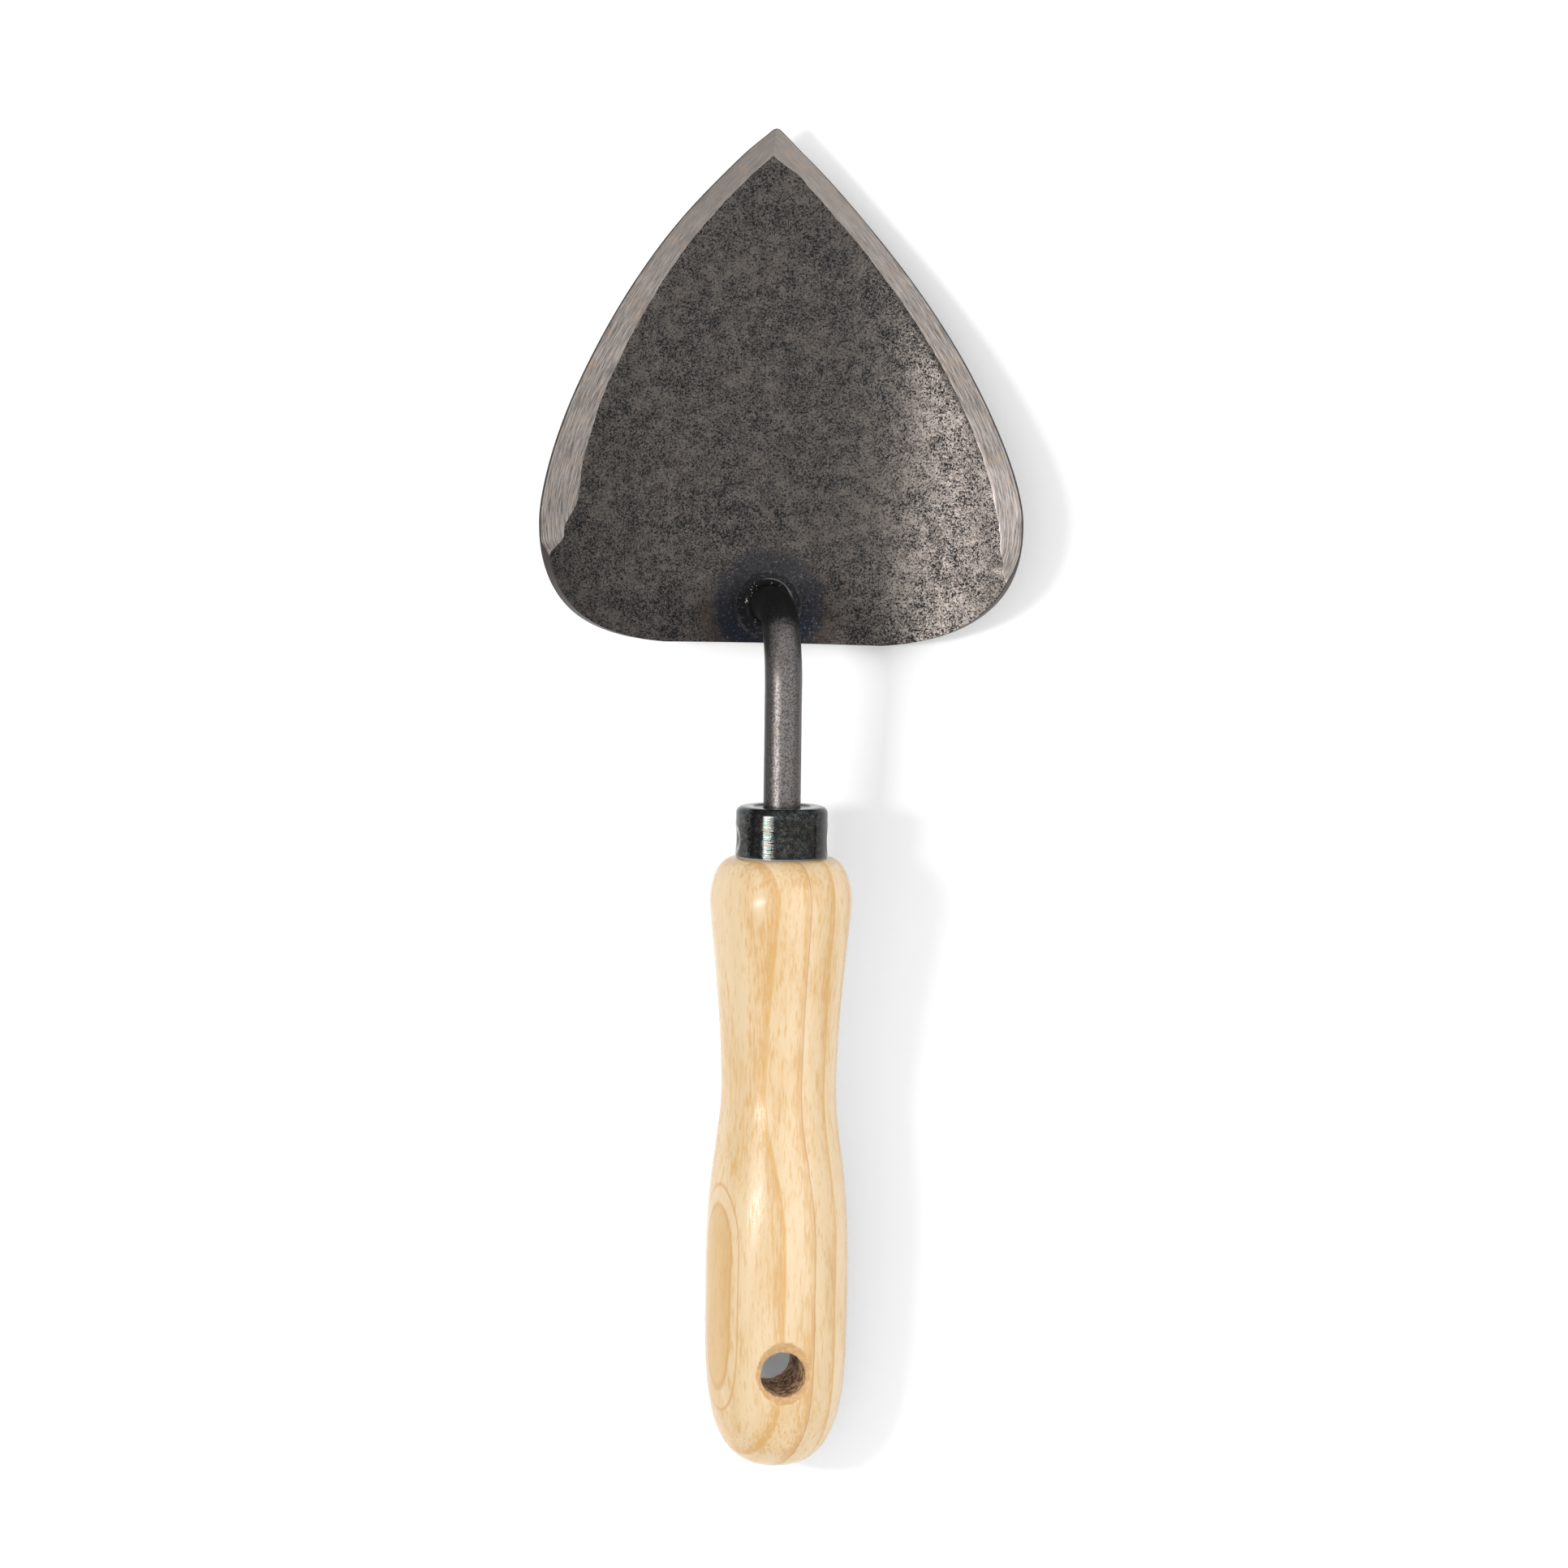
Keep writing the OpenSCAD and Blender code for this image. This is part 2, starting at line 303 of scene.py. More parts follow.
class Row:
    """One cut across the blade. Past the apex the two bevels meet in a ridge."""

    def __init__(self, half, along, run):
        self.half, self.along, self.run = half, along, run
        self.centre = through(WANDER, along)
        self.wide = {s: through(BEVEL[s], along) for s in (-1, 1)}
        self.reach = clamp(2 * half / max(self.wide[-1] + self.wide[1], TINY))
        self.past_apex = self.reach < 1
        self.ridge_off = (self.wide[-1] - self.wide[1]) / 2 * self.reach

    def inset(self, s):
        """Width of one side's bevel, with the jags of hand grinding."""
        room = self.half - s * self.ridge_off
        if self.past_apex:
            return room
        jag = 0.22 * ripple(self.run / 1.7, s * 9.3) + 0.2 * ripple(self.run / 6.0, s * 4.1)
        jag *= smooth(7, 11, self.half)
        return min(room, max(0.0, self.wide[s] + jag * smooth(0, 2, self.wide[s])))


class SheetBuilder(Builder):
    """Builds on the dished sheet, and keeps each point's place for the materials."""

    def __init__(self, name):
        super().__init__(name)
        self.tags = []

    def add(self, across, along, depth, edge_run=0.0, inward=0.0):
        self.tags.append((across, along, edge_run, inward))
        shift = (HEEL_SKEW * across + HEEL_SHIFT) * math.exp(-along / HEEL_FADE)
        return self.point(on_sheet(across, along - shift, depth + blade_relief(across, along)))


def bevel_points(build, row, s, ridge):
    """One side of a row: bevel columns on both faces, the rim, and the bevel's width."""
    inset = row.inset(s)
    soft = min(EDGE_SOFT, row.half * 0.3)
    top, low = [], []
    for k in range(BEVEL_COLUMNS + 1):
        if row.past_apex and k == BEVEL_COLUMNS:
            top.append(ridge[0])
            low.append(ridge[1])
        elif k and inset < soft + THIN_BEVEL:
            top.append(top[0])
            low.append(low[0])
        else:
            away = soft + (inset - soft) * k / BEVEL_COLUMNS
            across = row.centre + s * (row.half - away)
            depth = bevel_drop(row.wide[s]) * (1 - row.reach * k / BEVEL_COLUMNS)
            top.append(build.add(across, row.along, depth, row.run, away))
            low.append(build.add(across, row.along, SHEET))
    outer = row.centre + s * row.half
    depths = (bevel_drop(row.wide[s]) + RIM_SOFT, SHEET - RIM_SOFT)
    rim = [build.add(outer, row.along, depth, row.run) for depth in depths]
    return top, low, rim, inset


def sheet_points(build, row, left, right, ridge):
    """Columns across the middle of the sheet, on both faces, closer near the foot."""
    if row.past_apex:
        return [ridge[0]], [ridge[1]]
    start = row.centre - row.half + max(left[3], EDGE_SOFT)
    end = row.centre + row.half - max(right[3], EDGE_SOFT)
    top, low = [left[0][-1]], [left[1][-1]]
    for i in range(1, SHEET_COLUMNS):
        t = 2 * i / SHEET_COLUMNS - 1
        across = (start + end) / 2 + (0.55 * t + 0.45 * t ** 3) * (end - start) / 2
        top.append(build.add(across, row.along, 0.0))
        low.append(build.add(across, row.along, SHEET))
    return top + [right[0][-1]], low + [right[1][-1]]


def join_rows(build, one, two):
    """Faces between two rows: sheet, bevels and sheared rim."""
    (top, low, sides), (next_top, next_low, next_sides) = one, two
    if len(next_top) > 1:
        build.strip(top, next_top)
        build.strip(low, next_low)
    elif len(top) > 1:
        for near, far in ((top, next_top[0]), (low, next_low[0])):
            for a, b in zip(near, near[1:]):
                build.face(a, b, far)
    for s in (-1, 1):
        here, there = sides[s], next_sides[s]
        ground = max(here[3], there[3]) > EDGE_SOFT + THIN_BEVEL
        build.strip(here[0], there[0], kind=1 if ground else 0)
        build.strip(here[1], there[1])
        build.strip(rim_line(here), rim_line(there), kind=2)


def rim_line(side):
    top, low, rim, _ = side
    return [top[0], *rim, low[0]]


def close_blade_end(build, row):
    """Wall across the heel or the blunt tip."""
    top, low, sides = row
    left, right = sides[-1], sides[1]
    build.strip(left[0][:-1] + top + right[0][:-1][::-1],
                left[1][:-1] + low + right[1][:-1][::-1], kind=2)
    build.face(*rim_line(left), kind=2)
    build.face(*rim_line(right)[::-1], kind=2)


def blade():
    build = SheetBuilder("heart_blade")
    made, run, last = [], 0.0, None
    for place in blade_rows():
        run += math.dist(last, place) if last else 0
        last = place
        row, ridge = Row(*place, run), None
        if row.past_apex:
            across = row.centre + row.ridge_off
            depth = (SHEET - EDGE_T) * (1 - row.reach)
            ridge = (build.add(across, row.along, depth, run, row.half),
                     build.add(across, row.along, SHEET))
        sides = {s: bevel_points(build, row, s, ridge) for s in (-1, 1)}
        made.append((*sheet_points(build, row, sides[-1], sides[1], ridge), sides))
    for one, two in zip(made, made[1:]):
        join_rows(build, one, two)
    close_blade_end(build, made[0])
    close_blade_end(build, made[-1])
    piece = build.make([scale_steel(), ground_steel(), sheared_steel()])
    cut(piece, foot_hole())
    finish_normals(piece.data, 24)
    tag_points(piece, build.points, build.tags)
    return piece


def foot_hole():
    """Cutter for the hole that the foot passes through."""
    build = Builder("punch")
    reach = BAR_R + BAR_GAP
    loops = []
    for depth in PUNCH_DEPTHS:
        _, y, z = on_sheet(0, FOOT_IN, depth)
        loops.append([build.point((reach * math.cos(a), y + reach * math.sin(a) * math.cos(BLADE_PITCH),
                                   z + reach * math.sin(a) * math.sin(BLADE_PITCH)))
                      for a in turns(64)])
    build.skin(loops)
    build.cap(loops[0], on_sheet(0, FOOT_IN, PUNCH_DEPTHS[0]))
    build.cap(loops[-1], on_sheet(0, FOOT_IN, PUNCH_DEPTHS[-1]))
    return build.make([])


def tag_points(piece, points, tags):
    """Stores each point's place on the sheet and along the edge, for the materials."""
    tree = KDTree(len(points))
    for i, point in enumerate(points):
        tree.insert(point, i)
    tree.balance()
    nearest = [tags[tree.find(v.co)[1]] for v in piece.data.vertices]
    for name, first in (("sheet_place", 0), ("edge_place", 2)):
        layer = piece.data.attributes.new(name, "FLOAT_VECTOR", "POINT")
        flat = [c for tag in nearest for c in (tag[first], tag[first + 1], 0.0)]
        layer.data.foreach_set("vector", flat)


# ---- Materials: node helpers ----

class Nodes:
    """Short calls for the nodes of a material or of the sky. Values are numbers or sockets."""

    def __init__(self, owner):
        owner.use_nodes = True
        self.tree = owner.node_tree

    def node(self, kind, inputs=None, **settings):
        made = self.tree.nodes.new("ShaderNode" + kind)
        for key, value in settings.items():
            setattr(made, key, value)
        for key, value in (inputs or {}).items():
            self.feed(made.inputs[key], value)
        return made

    def feed(self, socket, value):
        if isinstance(value, bpy.types.NodeSocket):
            self.tree.links.new(value, socket)
        elif isinstance(value, tuple) and len(value) == 3 and socket.type == "RGBA":
            socket.default_value = (*value, 1)
        else:
            socket.default_value = value

    def math(self, operation, a, b=0.0, c=0.0):
        return self.node("Math", {0: a, 1: b, 2: c}, operation=operation).outputs[0]

    def plus(self, a, b):
        return self.math("ADD", a, b)

    def minus(self, a, b):
        return self.math("SUBTRACT", a, b)

    def times(self, a, b):
        return self.math("MULTIPLY", a, b)

    def most(self, a, b):
        return self.math("MAXIMUM", a, b)

    def gap(self, a, b):
        return self.math("ABSOLUTE", self.minus(a, b))

    def length(self, a, b):
        squares = [self.math("POWER", side, 2.0) for side in (a, b)]
        return self.math("SQRT", self.plus(*squares))

    def blend(self, amount, one, two):
        return self.node("Mix", {0: amount, 2: one, 3: two}).outputs[0]


class Shade(Nodes):
    """One material, with calls for what its nodes have in common."""

    def __init__(self, name):
        self.material = bpy.data.materials.new(name)
        super().__init__(self.material)
        self.body = self.tree.nodes["Principled BSDF"]

    def place(self, scale=(1, 1, 1), name=None):
        """Place in millimetres times a scale, from the object or from a stored place."""
        if name:
            source, unit = self.node("Attribute", attribute_name=name).outputs["Vector"], 1.0
        else:
            source, unit = self.node("TexCoord").outputs["Object"], 1 / MM
        return self.node("VectorMath", {0: source, 1: tuple(s * unit for s in scale)},
                         operation="MULTIPLY").outputs[0]

    def noise(self, vector, scale=1.0, detail=2.0, rough=0.5, bend=0.0):
        return self.node("TexNoise", {"Vector": vector, "Scale": scale, "Detail": detail,
                                      "Roughness": rough, "Distortion": bend}).outputs[0]

    def grain(self, scale, detail=3.0, rough=0.6, name=None):
        """Noise with its own scale along each axis."""
        return self.noise(self.place(scale, name), 1.0, detail, rough)

    def step(self, value, low, high, start=0.0, end=1.0):
        """Smooth step of a value from one level to another."""
        return self.node("MapRange", {0: value, 1: low, 2: high, 3: start, 4: end},
                         interpolation_type="SMOOTHSTEP").outputs[0]

    def ramp(self, value, low, high, start=0.0, end=1.0):
        return self.node("MapRange", {0: value, 1: low, 2: high, 3: start, 4: end}).outputs[0]

    def mix(self, amount, one, two):
        return self.node("Mix", {0: amount, 6: one, 7: two}, data_type="RGBA").outputs[2]

    def bump(self, height, strength, distance):
        return self.node("Bump", {"Height": height, "Strength": strength,
                                  "Distance": distance * MM}).outputs[0]

    def bounce(self):
        """One for light on its way to another surface, so that it can be kept neutral and bright:
        painted fill light for the shadows nearby.
        """
        return self.node("LightPath").outputs["Is Diffuse Ray"]

    def split(self, vector):
        return self.node("SeparateXYZ", {0: vector}).outputs

    def set(self, **inputs):
        for key, value in inputs.items():
            self.feed(self.body.inputs[key.replace("_", " ")], value)


def srgb(red, green, blue):
    """Linear colour of an 8-bit display colour."""
    def linear(c):
        c /= 255
        return c / 12.92 if c <= 0.04045 else ((c + 0.055) / 1.055) ** 2.4
    return (linear(red), linear(green), linear(blue))


# ---- Materials: steel ----

def scale_steel():
    """Rolled sheet with thin mill scale: brown grey with a dark veined speckle."""
    s = Shade("blade_mill_scale")
    place = s.place()
    clump = s.noise(place, 0.07, 4.0, 0.65)
    patch = s.noise(place, 0.32, 3.0, 0.6)
    crowd = s.plus(s.times(clump, 0.5), s.times(patch, 0.5))
    crowd = s.ramp(crowd, 0.38, 0.62, -1.0, 1.0)
    worm = s.minus(s.gap(s.noise(place, 1.3, 2.0, 0.6, 1.2), 0.5), s.times(crowd, 0.017))
    spot = s.plus(s.noise(place, 2.1, 3.0, 0.65, 0.4), s.times(crowd, 0.032))
    dark = s.most(s.step(worm, 0.048, 0.018), s.step(spot, 0.52, 0.60))
    dark = s.most(dark, rolling_lines(s))
    patina = s.mix(s.step(patch, 0.35, 0.65), (0.135, 0.118, 0.106), (0.114, 0.099, 0.089))
    pale = s.step(s.noise(place, 2.6, 2.0, 0.6), 0.66, 0.74)
    patina = s.mix(s.times(pale, 0.6), patina, (0.20, 0.18, 0.165))
    colour = s.mix(dark, patina, (0.019, 0.020, 0.022))
    # Painted fill light: light bounced off the blade sees a bright neutral grey.
    colour = s.mix(s.bounce(), heat_tint(s, colour), (0.8, 0.8, 0.8))
    rough = s.ramp(dark, 0, 1, 0.34, 0.55)
    height = s.minus(s.times(spot, 0.3), s.times(dark, 0.5))
    s.set(Base_Color=colour, Metallic=1.0, Roughness=rough, Normal=s.bump(height, 0.25, 0.05))
    return s.material


def rolling_lines(s):
    """Fine dark lines that the rolls left along the sheet."""
    thin = s.grain((2.6, 0.035, 1), 1.0, 0.5, name="sheet_place")
    broken = s.noise(s.place(name="sheet_place"), 0.12, 2.0, 0.5)
    return s.times(s.step(thin, 0.735, 0.76), s.step(broken, 0.45, 0.55, 0.0, 0.85))


def heat_tint(s, colour):
    """Rings of heat colour round the welded foot, with pale grains of scale in them, a pale ring
    painted as the highlight on the weld imprint's edge, and a painted highlight on the fillet's upper
    right rim.
    """
    across, along, _ = s.split(s.place(name="sheet_place"))
    away = s.length(across, s.minus(along, FOOT_IN))
    wobble = s.minus(s.noise(s.place(), 0.45, 4.0, 0.7), 0.5)
    ragged = s.plus(away, s.times(wobble, 5.0))
    low = s.step(along, 16, 3)
    straw = s.times(s.step(ragged, 19.0, 14.0), s.times(low, 0.6))
    colour = s.mix(straw, colour, (0.060, 0.046, 0.036))
    blue = s.times(s.step(ragged, 15.0, 11.0), 0.82)
    colour = s.mix(blue, colour, s.mix(low, (0.036, 0.036, 0.041), (0.013, 0.019, 0.033)))
    inner = s.times(s.step(away, 8.2, 7.2), 0.8)
    colour = s.mix(inner, colour, (0.021, 0.021, 0.025))
    # Painted highlight: a pale ring on the edge of the weld's imprint, broken at random.
    ring = s.gap(s.plus(away, wobble), RING_R)
    ring = s.times(s.step(ring, 0.55, 0.15), s.step(wobble, -0.1, 0.15, 0.1, 0.6))
    colour = s.mix(ring, colour, (0.105, 0.098, 0.094))
    # Painted highlight: a pale arc just outside the fillet's upper right rim, where the fillet catches
    # the key light.
    arc = s.step(s.gap(away, 5.85), 0.30, 0.10)
    arc = s.times(arc, s.step(across, -2.0, 1.5, 0.0, 0.8))
    colour = s.mix(s.times(arc, s.step(along, 9, 12)), colour, (0.20, 0.19, 0.185))
    grains = s.step(s.noise(s.place(), 1.7, 3.0, 0.75), 0.585, 0.655)
    grains = s.times(grains, s.step(ragged, 18.0, 12.0, 0.0, 0.75))
    return s.mix(grains, colour, (0.165, 0.155, 0.148))


def ground_steel():
    """Bevel fresh from the belt: pale steel with fine lines along the edge."""
    s = Shade("blade_ground_bevel")
    coarse = s.grain((0.16, 3.2, 1), name="edge_place")
    fine = s.grain((0.5, 11.0, 1), 3.0, 0.65, name="edge_place")
    cloud = s.noise(s.place(), 0.22, 3.0, 0.6)
    grain = s.plus(s.times(coarse, 0.55), s.times(fine, 0.45))
    colour = s.mix(s.step(grain, 0.38, 0.62), srgb(106, 100, 97), srgb(190, 181, 175))
    scratch = s.grain((0.09, 5.0, 1), 1.0, 0.5, name="edge_place")
    colour = s.mix(s.step(scratch, 0.66, 0.74, 0.0, 0.4), colour, srgb(66, 62, 60))
    nose = s.mix(s.step(grain, 0.34, 0.66), srgb(130, 124, 120), srgb(166, 158, 152))
    along = s.split(s.place(name="sheet_place"))[1]
    colour = s.mix(s.step(along, 70, 108), colour, nose)
    # Painted shade: the left bevel, turned from the key light, is darker.
    colour = s.mix(s.step(s.split(s.place())[0], 12, -12, 0.0, 0.22), colour, srgb(70, 67, 66))
    colour = s.mix(s.times(s.step(cloud, 0.52, 0.68), 0.35), colour, srgb(170, 148, 128))
    s.set(Base_Color=colour, Metallic=0.85, Roughness=s.ramp(grain, 0.3, 0.7, 0.42, 0.36),
          Normal=s.bump(grain, 0.15, 0.05))
    return s.material


def sheared_steel():
    """Cut edge of the sheet: dark, with short marks across it."""
    s = Shade("blade_sheared_edge")
    marks = s.noise(s.place(), 2.4, 3.0, 0.6)
    colour = s.mix(marks, srgb(40, 37, 36), srgb(92, 84, 80))
    s.set(Base_Color=colour, Metallic=0.7, Roughness=0.42, Normal=s.bump(marks, 0.3, 0.05))
    return s.material


def bar_steel():
    """Drawn bar with a thin scale, burnt black towards the weld, with painted shade on its left edges
    and where the bend turns from the light.
    """
    s = Shade("shank_scale")
    place = s.place()
    grain = s.noise(place, 2.2, 3.0, 0.65)
    speck = s.noise(place, 5.5, 2.0, 0.6)
    cloud = s.grain((0.3, 0.12, 0.3), 2.0, 0.5)
    colour = s.mix(s.step(grain, 0.36, 0.64), srgb(80, 77, 77), srgb(134, 128, 125))
    colour = s.mix(s.step(speck, 0.58, 0.70, 0.0, 0.6), colour, srgb(160, 152, 146))
    # Painted shade: the bar darkens towards its grazing edges, more on the left, away from the light.
    side = s.node("LayerWeight", {0: 0.5}).outputs["Facing"]
    x, along, height = s.split(place)
    side = s.times(s.step(side, 0.10, 0.50), s.step(x, 1.0, -2.0, 0.45, 0.85))
    colour = s.mix(side, colour, srgb(36, 35, 35))
    colour = s.mix(s.times(s.step(cloud, 0.55, 0.7), 0.35), colour, srgb(100, 88, 80))
    # Black from the bend down to the foot and low on the leg: burnt scale near the weld, and painted
    # shade where the bend turns from the light, which the arched edge follows.
    ragged = s.times(s.minus(s.noise(place, 1.2, 4.0, 0.7), 0.5), 6.0)
    ragged = s.plus(ragged, s.times(s.math("POWER", x, 2.0), 0.11))
    far_side = s.step(s.plus(along, ragged), TURN_Y - 4.6, TURN_Y - 0.9)
    burnt_and_shaded = s.most(far_side, s.step(height, -12.0, -20.0))
    soot_and_shade = s.mix(s.step(speck, 0.45, 0.65), srgb(8, 8, 9), srgb(36, 36, 36))
    colour = s.mix(burnt_and_shaded, colour, soot_and_shade)
    rough = s.ramp(burnt_and_shaded, 0, 1, 0.36, 0.5)
    rough = s.plus(rough, s.ramp(speck, 0.3, 0.7, -0.05, 0.06))
    relief = s.plus(s.times(grain, 0.5), s.times(speck, 0.5))
    s.set(Base_Color=colour, Metallic=s.ramp(burnt_and_shaded, 0, 1, 0.8, 0.1), Roughness=rough,
          Specular_IOR_Level=0.15, Normal=s.bump(relief, 0.6, 0.07))
    return s.material


def weld_metal():
    """Black weld skin, with a few pale specks painted as glints."""
    s = Shade("weld_black")
    place = s.place()
    lumps = s.noise(place, 0.9, 3.0, 0.6)
    grit = s.noise(place, 3.1, 3.0, 0.7)
    colour = s.mix(lumps, srgb(8, 8, 10), srgb(26, 25, 26))
    # Painted glints: a few pale specks on the black skin.
    painted_glints = s.step(s.noise(place, 1.7, 2.0, 0.6), 0.66, 0.70)
    colour = s.mix(painted_glints, colour, srgb(205, 196, 186))
    s.set(Base_Color=colour, Metallic=0.2, Roughness=s.ramp(grit, 0.35, 0.65, 0.25, 0.6),
          Specular_IOR_Level=0.1, Normal=s.bump(s.plus(lumps, grit), 0.5, 0.2))
    return s.material


def ferrule_black():
    """Black oxide under clear lacquer: turned lines, pale worn flecks and a faint rainbow."""
    s = Shade("ferrule_lacquer")
    place = s.place()
    turned = s.grain((0.22, 2.4, 0.22), 3.0, 0.7)
    worm = s.gap(s.noise(s.place((1.35, 1.1, 1.35)), 1.0, 2.0, 0.6, 1.6), 0.5)
    mottle = s.noise(place, 0.75, 4.0, 0.7)
    grain = s.noise(place, 3.4, 3.0, 0.7)
    fleck = s.times(s.step(worm, 0.034, 0.008), s.step(mottle, 0.42, 0.60))
    fleck = s.most(fleck, s.times(s.step(grain, 0.54, 0.70), 0.6))
    x, y, _ = s.split(place)
    clean = s.times(s.step(x, -8.6, -7.6), s.step(x, -1.0, -3.6))
    fleck = s.times(fleck, s.ramp(clean, 0, 1, 1.0, 0.12))
    colour = s.mix(s.step(mottle, 0.40, 0.65), (0.0028, 0.0031, 0.0032), (0.0105, 0.0105, 0.0095))
    worn = s.mix(s.step(y, FACE_Y - 2.6, FACE_Y - 1.4), (0.118, 0.122, 0.116), (0.14, 0.16, 0.20))
    colour = s.mix(s.times(fleck, 0.62), colour, worn)
    # Pale rear lip: worn bare steel, with a painted highlight along it.
    rim = s.step(y, WOOD_FRONT + 0.38, WOOD_FRONT + 0.22, 0.0, 0.8)
    colour = s.mix(rim, colour, (0.26, 0.25, 0.24))
    hue = s.grain((0.5, 0.9, 0.5), 2.0, 0.5)
    tint = s.mix(s.step(hue, 0.46, 0.54), (1.0, 0.80, 0.72), (0.72, 1.0, 0.84))
    tint = s.mix(s.step(hue, 0.56, 0.64), tint, (0.80, 0.84, 1.0))
    rough = s.ramp(s.most(fleck, mottle), 0.40, 0.9, 0.06, 0.30)
    height = s.plus(s.times(turned, 0.8), s.times(grain, 0.12))
    s.set(Base_Color=colour, Metallic=0.0, Roughness=rough, Specular_IOR_Level=0.24,
          Specular_Tint=tint, Normal=s.bump(height, 0.45, 0.06))
    return s.material


# ---- Material: wood ----

RING_ANGLE, RING_GAP, RING_START = math.radians(147.5), 6.75, 3.75
LOOP_ANGLE, LOOP_START, LOOP_STEP = math.radians(155.0), 16.63, 0.81


def across_rings(s, x, z, angle):
    """Distance across flat sheets of growth that stand at an angle."""
    return s.plus(s.times(x, math.cos(angle)), s.times(z, math.sin(angle)))


def ring_sway(s, y):
    """How far the rings drift from flat sheets along the handle."""
    drift = s.grain((0.045, 0.020, 0.045), 2.0, 0.5)
    sway = s.plus(s.times(s.minus(drift, 0.5), 0.7), s.step(y, 62, 30, 0.0, 1.9))
    return s.minus(sway, s.step(y, -10, -22, 0.0, 1.1))


def growth_rings(s, depth):
    """Thin first line, torn second stripe, and the warm zones behind them."""
    ring = s.minus(depth, RING_START)
    phase = s.math("FLOORED_MODULO", ring, RING_GAP)
    count = s.math("FLOOR", s.math("DIVIDE", ring, RING_GAP))
    first = s.math("COMPARE", count, 0.0, 0.5)
    second = s.math("COMPARE", count, 1.0, 0.5)
    inner = s.math("GREATER_THAN", count, 1.5)
    line = s.times(s.step(phase, 0.50, 0.18), s.step(phase, 0.0, 0.10))
    line = s.times(line, s.plus(first, s.times(second, 0.15)))
    torn = s.grain((1.3, 0.75, 1.3), 3.0, 0.65)
    stripe = s.plus(phase, s.times(s.minus(torn, 0.5), 2.6))
    stripe = s.times(s.step(stripe, 1.2, 0.4), s.step(phase, -0.1, 0.3))
    stripe = s.times(stripe, s.minus(1.0, s.plus(first, inner)))
    start, quiet = s.step(phase, 0.30, 0.42), s.minus(1.0, inner)
    near = s.times(s.times(start, s.step(phase, 1.7, 0.5)), quiet)
    zone = s.times(s.times(start, s.step(phase, 3.2, 0.6)), quiet)
    return line, stripe, near, zone


def flank_loops(s, swell):
    """Double loop and the warm pool inside it, where the turning just reaches a ring."""
    swell = s.minus(swell, LOOP_START)
    loops = s.most(s.step(s.math("ABSOLUTE", swell), 0.13, 0.02),
                   s.step(s.gap(swell, LOOP_STEP), 0.15, 0.02))
    return loops, s.step(swell, 0.74, 0.92)


def ash_wood():
    """Pale ash under clear lacquer. Growth rings are almost flat sheets here."""
    s = Shade("handle_ash")
    x, y, z = s.split(s.place())
    sway = ring_sway(s, y)
    shiver = s.minus(s.grain((0.9, 0.16, 0.9)), 0.5)
    depth = s.plus(s.plus(across_rings(s, x, z, RING_ANGLE), sway), s.times(shiver, 0.5))
    line, stripe, near, zone = growth_rings(s, depth)
    swell = s.plus(s.plus(across_rings(s, x, z, LOOP_ANGLE), sway), s.times(shiver, 0.08))
    loops, pool = flank_loops(s, swell)
    dash = s.grain((1.5, 0.20, 1.5))
    fine = s.grain((2.8, 0.13, 2.8))
    band = s.grain((0.16, 0.035, 0.16))
    lift = s.plus(s.times(zone, 0.10), s.ramp(band, 0.35, 0.65, -0.05, 0.05))
    dashes = s.step(s.plus(dash, lift), 0.50, 0.68)
    flecks = s.step(s.plus(fine, lift), 0.54, 0.70)
    cream, honey = (0.660, 0.505, 0.315), (0.565, 0.345, 0.135)
    deep, brown = (0.48, 0.255, 0.080), (0.34, 0.165, 0.072)
    colour = s.mix(s.step(band, 0.36, 0.66), cream, (0.620, 0.445, 0.245))
    for mark, strength, tone in ((zone, 0.30, honey), (near, 0.30, honey), (dashes, 0.75, honey),
                                 (flecks, 0.45, deep), (stripe, 0.55, (0.57, 0.335, 0.105)),
                                 (pool, 0.65, (0.56, 0.350, 0.140)),
                                 (loops, 0.75, (0.53, 0.305, 0.110)), (line, 0.62, brown)):
        colour = s.mix(s.times(mark, strength), colour, tone)
    # Painted fill light: light bounced off the wood sees a bright neutral grey.
    colour = s.mix(s.bounce(), colour, (0.85, 0.85, 0.85))
    grainy = s.grain((1.4, 0.45, 1.4))
    s.set(Base_Color=colour, Roughness=s.ramp(fine, 0.3, 0.7, 0.14, 0.30), IOR=1.48,
          Normal=s.bump(s.plus(grainy, s.times(fine, 0.4)), 0.35, 0.10))
    return s.material


def bare_wood():
    """Unfinished wood inside the hole: brown, rough, torn by the drill."""
    s = Shade("handle_bored_wood")
    place = s.place()
    torn = s.grain((0.9, 0.7, 0.5), 4.0, 0.65)
    colour = s.mix(s.step(torn, 0.42, 0.62), srgb(122, 82, 50), srgb(214, 172, 132))
    _, _, z = s.split(place)
    mouth = s.step(s.math("ABSOLUTE", z), 10.5, 14.5)
    colour = s.mix(s.times(mouth, 0.8), colour, srgb(208, 170, 118))
    # Painted fill light: light bounced inside the hole sees a bright neutral grey.
    colour = s.mix(s.bounce(), colour, (0.75, 0.75, 0.75))
    s.set(Base_Color=colour, Roughness=0.7, Normal=s.bump(torn, 0.6, 0.35))
    return s.material


# ---- Shank ----

TANG_POINT, TANG_TIP = 9.0, 0.25
BAR_AROUND = 72
# Steps along the straight, round the bend and down the foot
BAR_STEPS = (150, 48, 36)
SKIN_MAX = 0.03
# Small scale pits on the top of the straight bar: (x, distance from the face, size, depth)
PITS = [(0.45, 15.9, 0.8, 0.13), (-0.9, 18.3, 0.45, 0.09), (0.6, 17.6, 0.4, 0.08),
        (-1.6, 9.2, 0.5, 0.07), (1.4, 25.5, 0.5, 0.06)]


